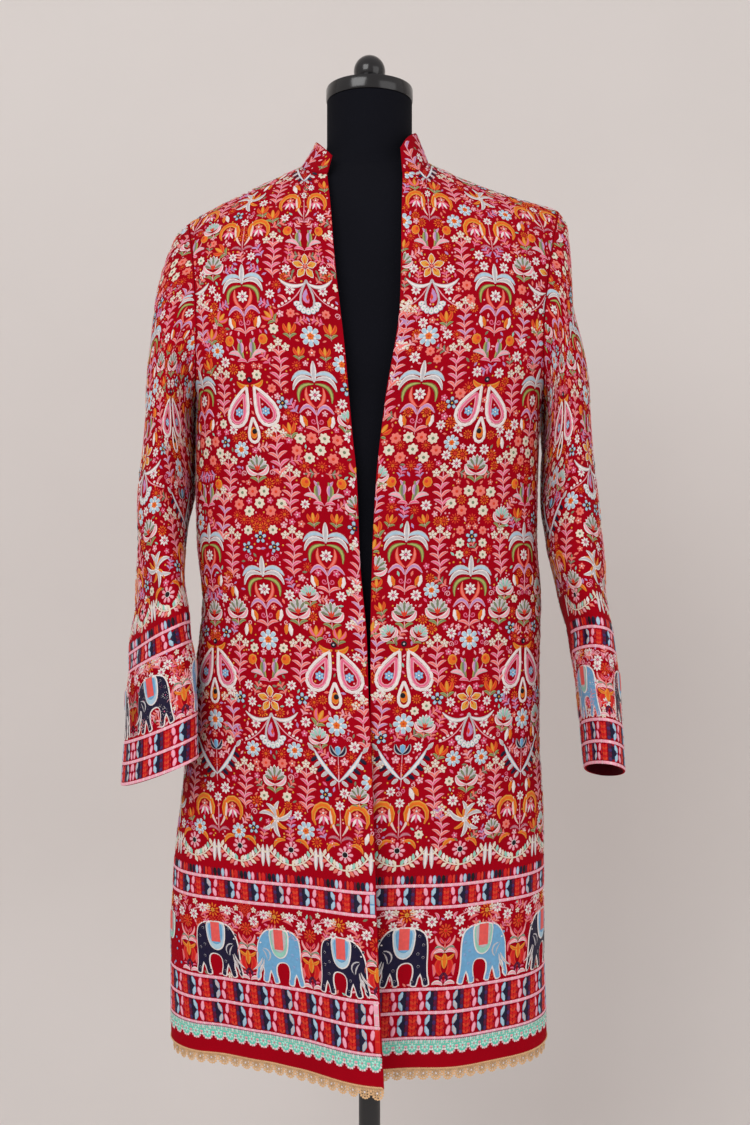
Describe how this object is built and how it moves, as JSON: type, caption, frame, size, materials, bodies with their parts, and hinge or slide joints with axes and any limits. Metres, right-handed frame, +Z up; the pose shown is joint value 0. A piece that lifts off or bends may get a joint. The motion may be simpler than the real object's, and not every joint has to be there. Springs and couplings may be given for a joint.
{
  "type": "sherwani coat on a dress form",
  "caption": "Crimson embroidered sherwani coat with a standing collar, hanging open over a limbless black dress form on a pole and round base.",
  "frame": {"origin": "centre of the round base's underside", "axes": "+Z up along the pole, the front of the coat looks along -Y, the wearer's left is +X"},
  "size_m": [0.579, 0.34, 1.6386],
  "materials": {
    "crimson_cloth": "matte, densely embroidered",
    "mint_lace_thread": "matte lace",
    "gold_lace_thread": "slightly shiny lace",
    "black_jersey": "matte knit",
    "black_gloss": "gloss",
    "black_painted_steel": "satin paint"
  },
  "bodies": {
    "root": {"front_right": "crimson_cloth", "front_left": "crimson_cloth", "back": "crimson_cloth", "sleeve_right": "crimson_cloth", "sleeve_left": "crimson_cloth", "collar": "crimson_cloth", "mint_lace_right": "mint_lace_thread", "mint_lace_left": "mint_lace_thread", "mint_lace_back": "mint_lace_thread", "gold_edging_right": "gold_lace_thread", "gold_edging_left": "gold_lace_thread", "gold_edging_back": "gold_lace_thread", "form_torso": "black_jersey", "neck_cap": "black_gloss", "knob": "black_gloss", "pole": "black_painted_steel", "base": "black_painted_steel"}
  },
  "joints": []
}
